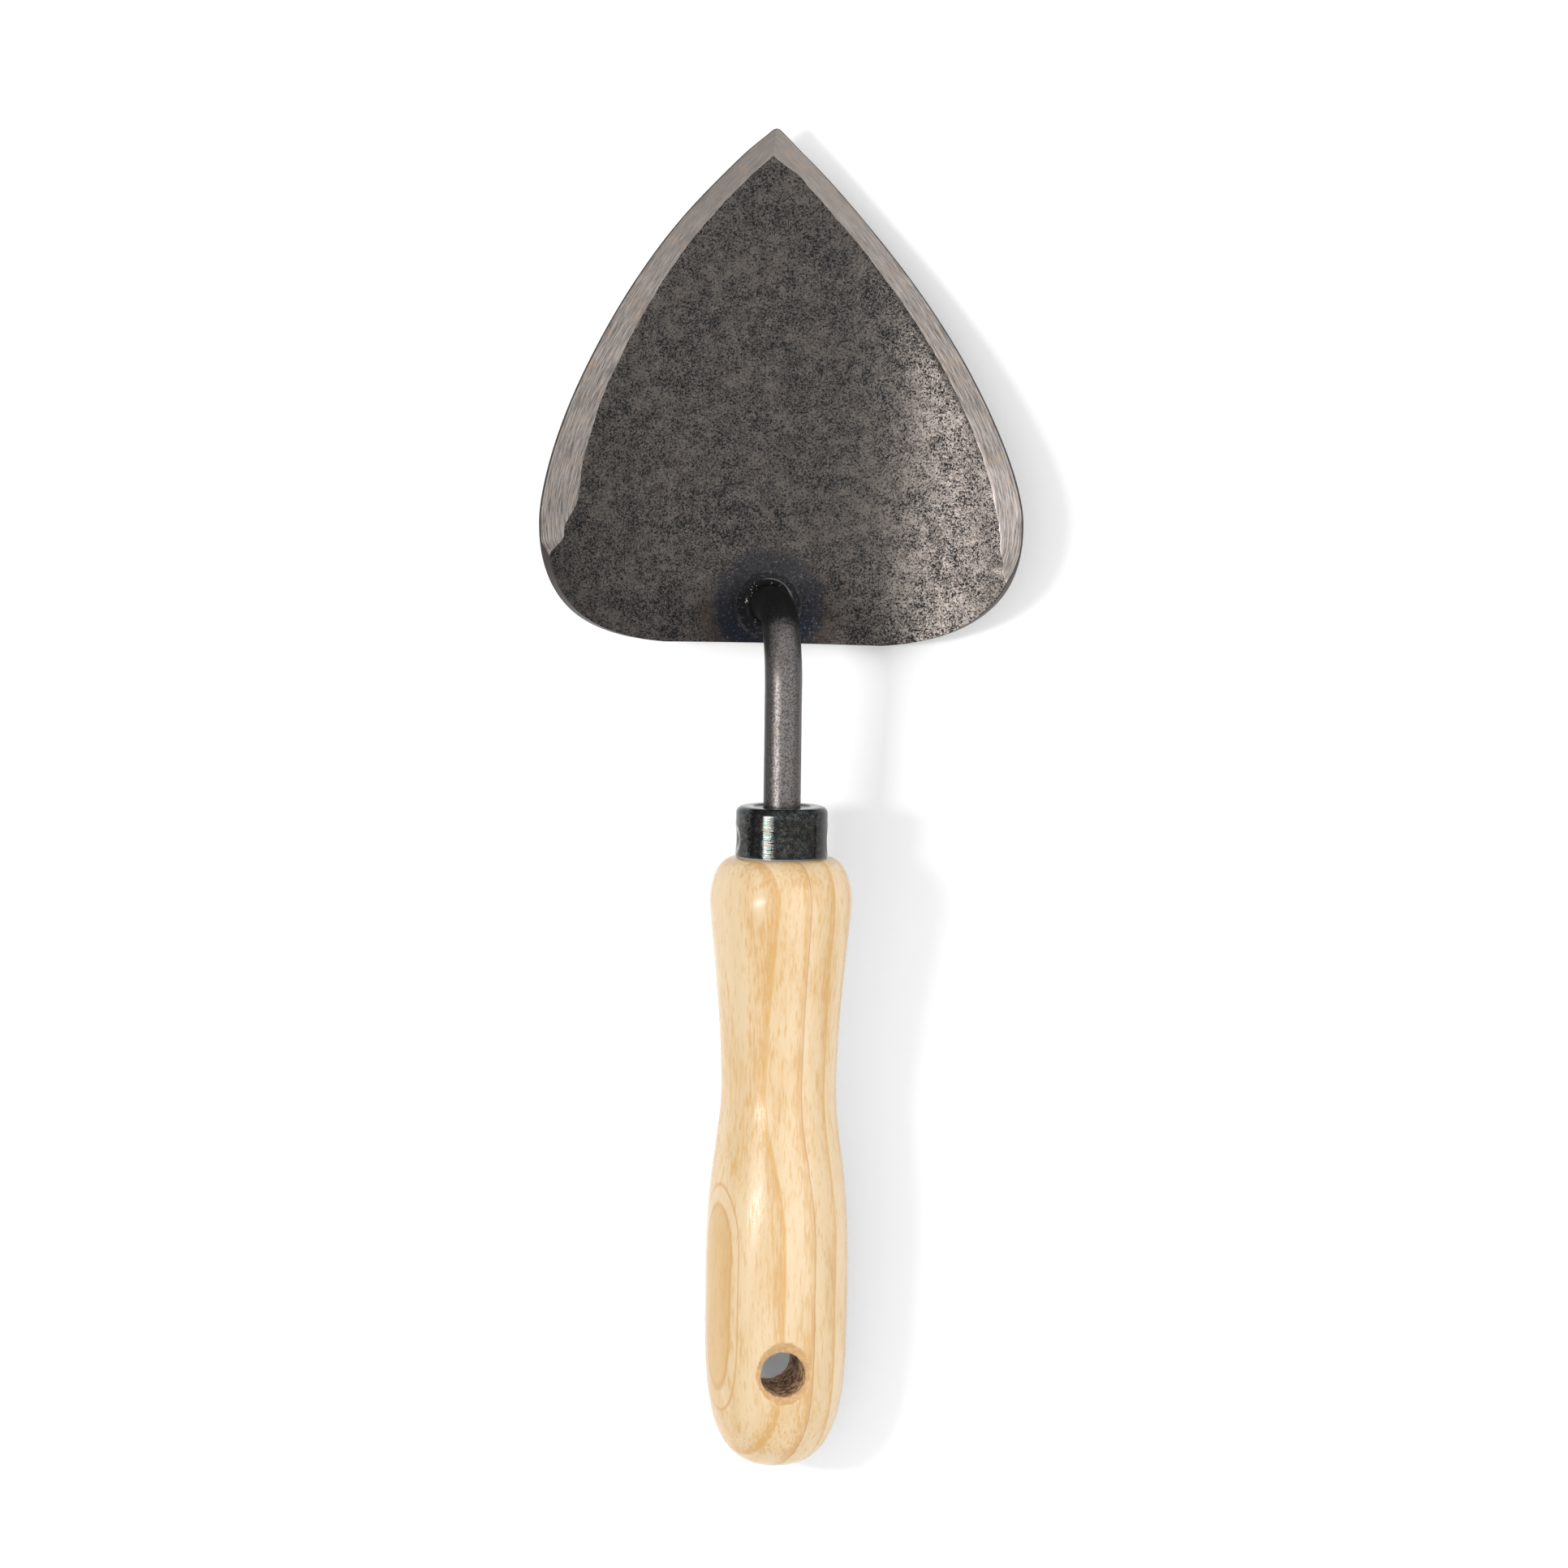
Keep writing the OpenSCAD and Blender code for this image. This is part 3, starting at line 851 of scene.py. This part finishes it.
def bar_path():
    """Centre line from the tang's point to the foot, as (point, direction)."""
    straight, bend, foot = BAR_STEPS
    start = FACE_Y - TANG_DEPTH
    path = [(Vector((0, start + (BEND_Y - start) * (i / straight), 0)), Vector((0, 1, 0)))
            for i in range(straight + 1)]
    for i in range(1, bend + 1):
        a = BEND_ANGLE * i / bend
        path.append((Vector((0, BEND_Y + BEND_R * math.sin(a), -BEND_R * (1 - math.cos(a)))),
                     Vector((0, math.cos(a), -math.sin(a)))))
    corner, heading = path[-1]
    for i in range(1, foot + 1):
        path.append((corner + heading * ((FOOT_LEN + SHEET) * i / foot), heading))
    return path


def bar_skin(where):
    """Roughness of the scaled skin, less its pits."""
    rough = 0.025 * ripple(where.x / 1.3, where.y / 1.6, where.z / 1.3)
    rough += 0.04 * ripple(where.x / 5, where.y / 7, where.z / 5)
    if where.z >= 0 and where.y >= FACE_Y:
        for x, along, size, deep in PITS:
            away = math.hypot(where.x - x, (where.y - FACE_Y - along) * 0.8) / size
            rough -= deep * math.exp(-away * away)
    return rough


def shank():
    build = Builder("cranked_shank")
    path = bar_path()
    rings = []
    for point, heading in path:
        side = Vector((1, 0, 0))
        up = side.cross(heading).normalized()
        from_tip = (point.y - (FACE_Y - TANG_DEPTH)) / TANG_POINT
        radius = BAR_R * clamp(TANG_TIP + (1 - TANG_TIP) * from_tip, TANG_TIP, 1.0)
        ring = []
        for a in turns(BAR_AROUND):
            spot = side * math.cos(a) + up * math.sin(a)
            where = point + spot * radius
            ring.append(build.point(where + spot * (min(bar_skin(where), SKIN_MAX) - SKIN_MAX)))
        rings.append(ring)
    build.skin(rings)
    build.cap(rings[0], path[0][0])
    build.cap(rings[-1], path[-1][0])
    return build.make([bar_steel()], sharp=50)


# ---- Weld ----

WELD_AROUND = 96
FILLET_STEPS, FILLET_REACH, FILLET_RISE, FILLET_ROOT = 8, 1.35, 1.3, 0.1
BEAD_STEPS, BEAD_R, BEAD_H, BEAD_ROOT = 12, 8.4, 1.7, 0.02


def foot_weld():
    """Fillet round the foot on the concave face, and a bead on the back."""
    build = Builder("foot_weld_bead")
    weld_fillet(build)
    weld_bead(build)
    return build.make([weld_metal()], sharp=60)


def weld_place(reach, turn, depth):
    across, along = reach * math.cos(turn), FOOT_IN + reach * math.sin(turn)
    return on_sheet(across, along, depth + blade_relief(across, along))


def weld_fillet(build):
    loops = []
    for k in range(FILLET_STEPS + 1):
        a = math.pi / 2 * k / FILLET_STEPS
        loop = []
        for turn in turns(WELD_AROUND):
            lump = 1 + 0.22 * ripple(2.2 * math.cos(turn), 2.2 * math.sin(turn), 1.4)
            reach = BAR_R + FILLET_REACH * lump * (1 - math.sin(a))
            height = FILLET_RISE * lump * (1 - math.cos(a))
            loop.append(build.point(weld_place(reach, turn, -height)))
        loops.append(loop)
    root = [build.point(weld_place(BAR_R, turn, FILLET_ROOT)) for turn in turns(WELD_AROUND)]
    build.skin(loops + [root, loops[0]])


def weld_bead(build):
    loops = []
    for k in range(BEAD_STEPS + 1):
        out = 1 - k / BEAD_STEPS
        loop = []
        for turn in turns(WELD_AROUND):
            cos, sin = math.cos(turn), math.sin(turn)
            lump = 1 + 0.07 * ripple(1.8 * cos, 1.8 * sin, 5.2)
            swell = BEAD_H * (1 - out ** 2.6) + 0.05 * math.cos(out * 26)
            swell += 0.12 * ripple(3 * out * cos, 3 * out * sin, 8)
            swell = max(swell, 0.05) if k else 0.0
            reach = BEAD_R * lump * max(out, 0.02)
            loop.append(build.point(weld_place(reach, turn, SHEET + swell)))
        loops.append(loop)
    build.skin(loops)
    build.cap(loops[-1], weld_place(0, 0, SHEET + BEAD_H))
    build.cap(loops[0], weld_place(0, 0, SHEET - BEAD_ROOT))


# ---- Ferrule ----

CRIMP_AT, CRIMP_R, CRIMP_DEPTH = 7.6, 3.15, 0.9
FERRULE_AROUND = 168
CUP_WALL, CUP_SHOULDER, CUP_LIP = 1.2, 1.6, 0.25
RECESS_R, RECESS = 6.45, 0.4
SHAFT_STEPS, INSIDE_STEPS = 40, 24


def crimp_dent(y, turn):
    """Depth of the pressed crimps, on both sides of the ferrule, with their raised rim."""
    dent = 0.0
    for middle in (0.0, math.pi):
        swing = (turn - middle + math.pi) % (2 * math.pi) - math.pi
        away = math.hypot(swing * FERRULE_R, y - (FACE_Y - CRIMP_AT)) / CRIMP_R
        dent += CRIMP_DEPTH * (1 - smooth(0.0, 1.12, away)) - 0.05 * math.exp(-((away - 1.2) * 6) ** 2)
    return dent


def ferrule_rows(inner):
    """Section of the cup as (y, radius): rim, outside, shoulder, recess, bore and inside."""
    rear, front = WOOD_FRONT + 0.02, FACE_Y - CUP_SHOULDER
    rows = [(rear, inner), (rear, FERRULE_R - CUP_LIP)]
    for a in (math.pi / 2 * k / 4 for k in range(1, 5)):
        rows.append((rear + CUP_LIP * math.sin(a), FERRULE_R - CUP_LIP * math.cos(a)))
    start = WOOD_FRONT + CUP_LIP
    rows += [(start + (front - start) * k / SHAFT_STEPS, FERRULE_R) for k in range(1, SHAFT_STEPS)]
    for a in (math.pi / 2 * k / 12 for k in range(13)):
        rows.append((front + CUP_SHOULDER * math.sin(a),
                     FERRULE_R - CUP_SHOULDER + CUP_SHOULDER * math.cos(a)))
    rows.append((FACE_Y, RECESS_R + 0.5))
    for t in (k / 6 for k in range(1, 7)):
        rows.append((FACE_Y - RECESS * smooth(0, 1, t), RECESS_R + 0.5 - 0.9 * t))
    floor_y, back = FACE_Y - RECESS, FACE_Y - CUP_WALL
    rows += [(floor_y - 0.1, BAR_R + 0.35), (floor_y - 0.3, BAR_R + BAR_GAP),
             (back, BAR_R + BAR_GAP), (back, inner - 0.8), (back - 0.8, inner)]
    depth = back - 0.8 - WOOD_FRONT
    rows += [(back - 0.8 - depth * k / INSIDE_STEPS, inner) for k in range(1, INSIDE_STEPS)]
    return rows


def ferrule():
    build = Builder("steel_ferrule")
    inner = FERRULE_R - CUP_WALL
    rings = []
    for y, radius in ferrule_rows(inner):
        ring = []
        for turn in turns(FERRULE_AROUND):
            r = radius - (crimp_dent(y, turn) if radius > inner - 0.2 else 0.0)
            ring.append(build.point((r * math.cos(turn), y, r * math.sin(turn))))
        rings.append(ring)
    build.skin(rings + [rings[0]])
    return build.make([ferrule_black()], sharp=38)


# ---- Handle ----

# The hang hole is centred on the row frame's origin
NOSE_R, FRONT_R, FRONT_AT = 10.8, 16.25, 9.6
WAIST_R, WAIST_AT, REAR_R, REAR_AT = 13.18, 52.8, 16.35, 93.4
FRONT_PULL, WAIST_PULL, WAIST_PUSH, REAR_PULL = 5.5, 17, 11.3, 21.7
BUTT_POWER, BUTT_ROUND = 4.3, 2.55
SINK_R, SINK_LEVEL, SINK_ZONE = 7.5, 15.85, 11
TENON_R, TENON_LEN = FERRULE_R - 1.25, FACE_Y - WOOD_FRONT - 1.3
TENON_STEPS, TENON_GAP = 24, 0.02
BORE_R, BORE_END = BAR_R + 0.05, FACE_Y - TANG_DEPTH + TANG_POINT - 1
WOOD_AROUND, BUTT_STEPS = 232, 16
# Spacing of the rings at both ends, by the hole and elsewhere, and reach of the close ones
NOSE_STEP, HOLE_STEP, WOOD_STEP, NOSE_ZONE, HOLE_ZONE = 0.35, 0.36, 1.1, 4, 9.5
DRILL_AROUND, DRILL_STEPS, DRILL_REACH = 120, 80, 20


def wood_radius(back):
    """Radius of the turned wood at a distance behind the ferrule."""
    if back <= FRONT_AT:
        rise = 1 - (1 - back / FRONT_AT) ** 2
        return NOSE_R + (FRONT_R - NOSE_R) * math.sqrt(max(rise, 0))
    if back <= REAR_AT:
        front = [(FRONT_AT, FRONT_R), (FRONT_AT + FRONT_PULL, FRONT_R),
                 (WAIST_AT - WAIST_PULL, WAIST_R), (WAIST_AT, WAIST_R)]
        rear = [(WAIST_AT, WAIST_R), (WAIST_AT + WAIST_PUSH, WAIST_R),
                (REAR_AT - REAR_PULL, REAR_R), (REAR_AT, REAR_R)]
        return on_curve(front if back < WAIST_AT else rear, back)
    t = clamp((back - REAR_AT) / (WOOD_LEN - REAR_AT))
    return REAR_R * max(0.0, 1 - t ** BUTT_POWER) ** (1 / BUTT_ROUND)


def on_curve(curve, x):
    """Second value of a curve where its first value is x."""
    low, high = 0.0, 1.0
    for _ in range(30):
        middle = (low + high) / 2
        if bezier(curve, middle)[0] < x:
            low = middle
        else:
            high = middle
    return bezier(curve, low)[1]


def handle_rows():
    """Distances behind the ferrule, close together at the nose, the hole and the butt."""
    rows, back = [0.0, 0.15], NOSE_STEP
    while back < WOOD_LEN - NOSE_ZONE:
        rows.append(back)
        if back < NOSE_ZONE:
            back += NOSE_STEP
        else:
            back += HOLE_STEP if abs(back - WOOD_FRONT) < HOLE_ZONE else WOOD_STEP
    left = WOOD_LEN - back
    rows += [WOOD_LEN - left * (1 - math.sin(math.pi / 2 * k / BUTT_STEPS)) for k in range(BUTT_STEPS)]
    return rows


def sink_drop(x, y, height, side):
    """How far the countersink and its torn fibres lower the wood near the hole."""
    turn = math.atan2(y, x)
    tear = 0.35 * ripple(3.2 * math.cos(turn), 3.2 * math.sin(turn), 4.0 * side)
    tear += 0.30 * ripple(x * 1.1, y * 0.7, 9.0 * side)
    level = SINK_LEVEL - (SINK_R + tear - math.hypot(x, y))
    over = max(0.0, height - level)
    return over * smooth(0.0, 0.25, over)


def wood_ring(build, angles, y, radius):
    """Ring of the outer wood or of the bore, lowered by the countersink near the hole."""
    ring = []
    for a in angles:
        x, z = radius * math.cos(a), radius * math.sin(a)
        if abs(y) < SINK_ZONE and abs(x) < SINK_ZONE and radius > TENON_R:
            z -= math.copysign(sink_drop(x, y, abs(z), 1 if z > 0 else -1), z)
        ring.append(build.point((x, y, z)))
    return ring


def tenon_ring(build, angles, y):
    """Ring of the tenon, dented with the ferrule's crimps."""
    radii = [TENON_R - crimp_dent(y, a) - TENON_GAP for a in angles]
    return [build.point((r * math.cos(a), y, r * math.sin(a))) for r, a in zip(radii, angles)]


def handle():
    build = Builder("ash_handle")
    # Columns stand closer together at the top and the bottom
    angles = [a + 0.34 * math.sin(2 * a) for a in turns(WOOD_AROUND)]
    tenon_end = WOOD_FRONT + TENON_LEN
    rings = [wood_ring(build, angles, y, radius) for y, radius in (
        (BORE_END, BORE_R), (tenon_end - 0.3, BORE_R), (tenon_end, BORE_R + 0.3),
        (tenon_end, TENON_R - 0.8))]
    for k in range(TENON_STEPS):
        along = (TENON_LEN - 0.8) * (1 - k / (TENON_STEPS - 1))
        rings.append(tenon_ring(build, angles, WOOD_FRONT + along))
    rings += [wood_ring(build, angles, WOOD_FRONT - back - 0.05, max(wood_radius(back), 0.15))
              for back in handle_rows()]
    build.skin(rings)
    build.cap(rings[0], (0, BORE_END - TANG_POINT, 0))
    build.cap(rings[-1], (0, BUTT_Y, 0))
    piece = build.make([ash_wood(), bare_wood()], sharp=50)
    cut(piece, hole_cutter())
    paint_hole(piece)
    finish_normals(piece.data, 50)
    return piece


def hole_cutter():
    """Slightly ragged drill, so that the rim of the hole is not a perfect circle."""
    build = Builder("drill")
    loops = []
    for k in range(DRILL_STEPS + 1):
        z = DRILL_REACH * (2 * k / DRILL_STEPS - 1)
        loop = []
        for a in turns(DRILL_AROUND):
            rag = 0.10 * ripple(3 * math.cos(a), 3 * math.sin(a), z * 0.5)
            rag += 0.16 * ripple(9 * math.cos(a), 9 * math.sin(a), z * 1.6) * smooth(9, 14, abs(z))
            r = HOLE_R + rag
            loop.append(build.point((r * math.cos(a), r * math.sin(a), z)))
        loops.append(loop)
    build.skin(loops)
    build.cap(loops[0], (0, 0, -DRILL_REACH))
    build.cap(loops[-1], (0, 0, DRILL_REACH))
    return build.make([])


def paint_hole(piece):
    """Gives the hole and its countersink the bare wood."""
    for face in piece.data.polygons:
        middle = face.center / MM
        away = math.hypot(middle.x, middle.y)
        lowered = wood_radius(WOOD_FRONT - middle.y) - math.hypot(middle.x, middle.z)
        inside = away < HOLE_R + 0.5 and abs(face.normal.z) < 0.6
        face.material_index = 1 if inside or (away < SINK_R + 1 and lowered > 0.12) else 0


# ---- Stage, light and camera ----

# How the tool lies: rolled to the right, its front raised, turned a little
ROLL, RISE, TURN = math.radians(7.7), math.radians(5.3), math.radians(0.71)
CAMERA_UP, SENSOR = 1.9, 36
VIEW_WIDTH = 0.3584
# Place of the ferrule's face from the middle of the view, right and up
FACE_RIGHT, FACE_UP = -0.00045, -0.0050
FLOOR_HALF, FLOOR_CELLS = 2.4, 24
# Name, tilt to the left and lean to the top in degrees, distance, width, length and
# power, and what the light falls on
LIGHTS = [("key", 38, -5.5, 1.3, 0.26, 0.46, 6.8, "steel"),
          ("ferrule_key", 33.5, -8, 1.3, 0.10, 0.60, 16.0, "black"),
          ("wood_key", 36, -9, 1.3, 0.12, 0.46, 3.2, "wood"),
          ("wood_fill", -38, 0, 1.2, 0.9, 1.2, 6.85, "wood"),
          ("shadow_key", 38, 2, 1.3, 0.17, 0.30, 7.2, "paper"),
          ("shadow_fill", 0, 0, 1.5, 2.0, 2.0, 2.6, "paper")]


def lay():
    """Turns stage space, with the camera on +Z and the floor level, into the row frame."""
    turn = (Matrix.Rotation(-TURN, 4, "Z") @ Matrix.Rotation(RISE, 4, "X")
            @ Matrix.Rotation(ROLL, 4, "Y"))
    face = Matrix.Translation((0, FACE_Y * MM, 0))
    return face @ turn.inverted() @ Matrix.Translation((-FACE_RIGHT, -FACE_UP, 0))


def floor_level(stage_space):
    """Lowest point of the shown pieces in stage space."""
    back = stage_space.inverted()
    return min((back @ v.co).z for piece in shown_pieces() if piece.type == "MESH"
               and not piece.hide_render for v in piece.data.vertices)


def floor(stage_space):
    level = floor_level(stage_space)
    mesh = bpy.data.meshes.new("floor")
    work = bmesh.new()
    bmesh.ops.create_grid(work, x_segments=FLOOR_CELLS, y_segments=FLOOR_CELLS, size=FLOOR_HALF)
    work.to_mesh(mesh)
    work.free()
    plane = bpy.data.objects.new("floor", mesh)
    bpy.context.collection.objects.link(plane)
    plane.matrix_world = stage_space @ Matrix.Translation((0, 0, level))
    mesh.materials.append(paper())
    plane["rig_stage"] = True
    return plane


def paper():
    """Matt white paper, clear from below. Reflections see a dark room beyond the sheet."""
    s = Shade("white_paper")
    x, y, _ = s.split(s.place())
    room = s.times(s.step(s.length(x, y), 160, 420), s.node("LightPath").outputs["Is Glossy Ray"])
    back = s.node("NewGeometry").outputs["Backfacing"]
    clear = s.node("BsdfTransparent").outputs[0]
    s.set(Base_Color=s.mix(room, (0.9, 0.9, 0.9), (0.06, 0.06, 0.06)), Roughness=0.9,
          Specular_IOR_Level=0.1)
    both = s.node("MixShader", {0: back, 1: s.body.outputs[0], 2: clear}).outputs[0]
    s.tree.links.new(both, s.tree.nodes["Material Output"].inputs["Surface"])
    return s.material


def soft_box(name, stage_space, tilt, lean, away, width, length, power, lit):
    """Area light aimed at the middle of the view, lighting only the objects in lit."""
    lamp = bpy.data.lights.new(name, "AREA")
    lamp.shape, lamp.size, lamp.size_y, lamp.energy = "RECTANGLE", width, length, power
    light = bpy.data.objects.new(name, lamp)
    bpy.context.collection.objects.link(light)
    place = Vector((-math.tan(math.radians(tilt)), math.tan(math.radians(lean)), 1)).normalized()
    aim = place.to_track_quat("Z", "Y").to_matrix().to_4x4()
    light.matrix_world = stage_space @ Matrix.Translation(place * away) @ aim
    light.visible_camera = False
    group = bpy.data.collections.new(name + "_lit")
    for piece in lit:
        group.objects.link(piece)
    light.light_linking.receiver_collection = group


def sky(stage_space):
    """Soft overhead light. Shiny faces see a darker left side, and the camera plain white."""
    world = bpy.data.worlds.new("studio")
    bpy.context.scene.world = world
    n = Nodes(world)
    heading, ray = n.node("TexCoord").outputs["Generated"], n.node("LightPath").outputs

    def slope(level, rise):
        dot = n.node("VectorMath", {0: heading, 1: stage_space.to_3x3() @ Vector(rise)},
                     operation="DOT_PRODUCT")
        return n.plus(dot.outputs["Value"], level)

    soft, shiny = slope(0.70, (-0.22, 0.0, 0.45)), slope(0.42, (0.38, 0.0, 0.66))
    level = n.blend(ray["Is Glossy Ray"], soft, shiny)
    back = n.tree.nodes["Background"]
    n.feed(back.inputs[0], (1, 1, 1))
    n.feed(back.inputs[1], n.blend(ray["Is Camera Ray"], level, 1.0))


def camera(stage_space):
    data = bpy.data.cameras.new("camera")
    data.sensor_width = SENSOR
    data.lens = SENSOR * CAMERA_UP / VIEW_WIDTH
    data.clip_end = 20
    eye = bpy.data.objects.new("camera", data)
    bpy.context.collection.objects.link(eye)
    eye.matrix_world = stage_space @ Matrix.Translation((0, 0, CAMERA_UP))
    bpy.context.scene.camera = eye


def studio():
    stage_space = lay()
    tool = [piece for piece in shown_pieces() if piece.type == "MESH"]
    wood = [piece for piece in tool if piece.get("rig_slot") == "handle_wood"]
    black = [piece for piece in tool if piece.get("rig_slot") == "ferrule_black"]
    steel = [piece for piece in tool if piece not in wood]
    lit = {"steel": steel, "black": black, "wood": wood, "paper": [floor(stage_space)]}
    for name, *numbers, target in LIGHTS:
        soft_box(name, stage_space, *numbers, lit[target])
    sky(stage_space)
    camera(stage_space)
    view = bpy.context.scene.view_settings
    view.view_transform, view.look, view.exposure, view.gamma = "Standard", "None", 0.0, 1.0


# ---- Assembly ----

def show(piece, node, slot):
    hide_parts(node)
    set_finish(piece, slot)
    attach(piece, "root")


def assemble():
    show(blade(), "blade", "blade_steel")
    show(shank(), "shank", "shank_steel")
    show(foot_weld(), "foot_weld", "weld_steel")
    show(ferrule(), "ferrule", "ferrule_black")
    show(handle(), "handle", "handle_wood")


assemble()
studio()
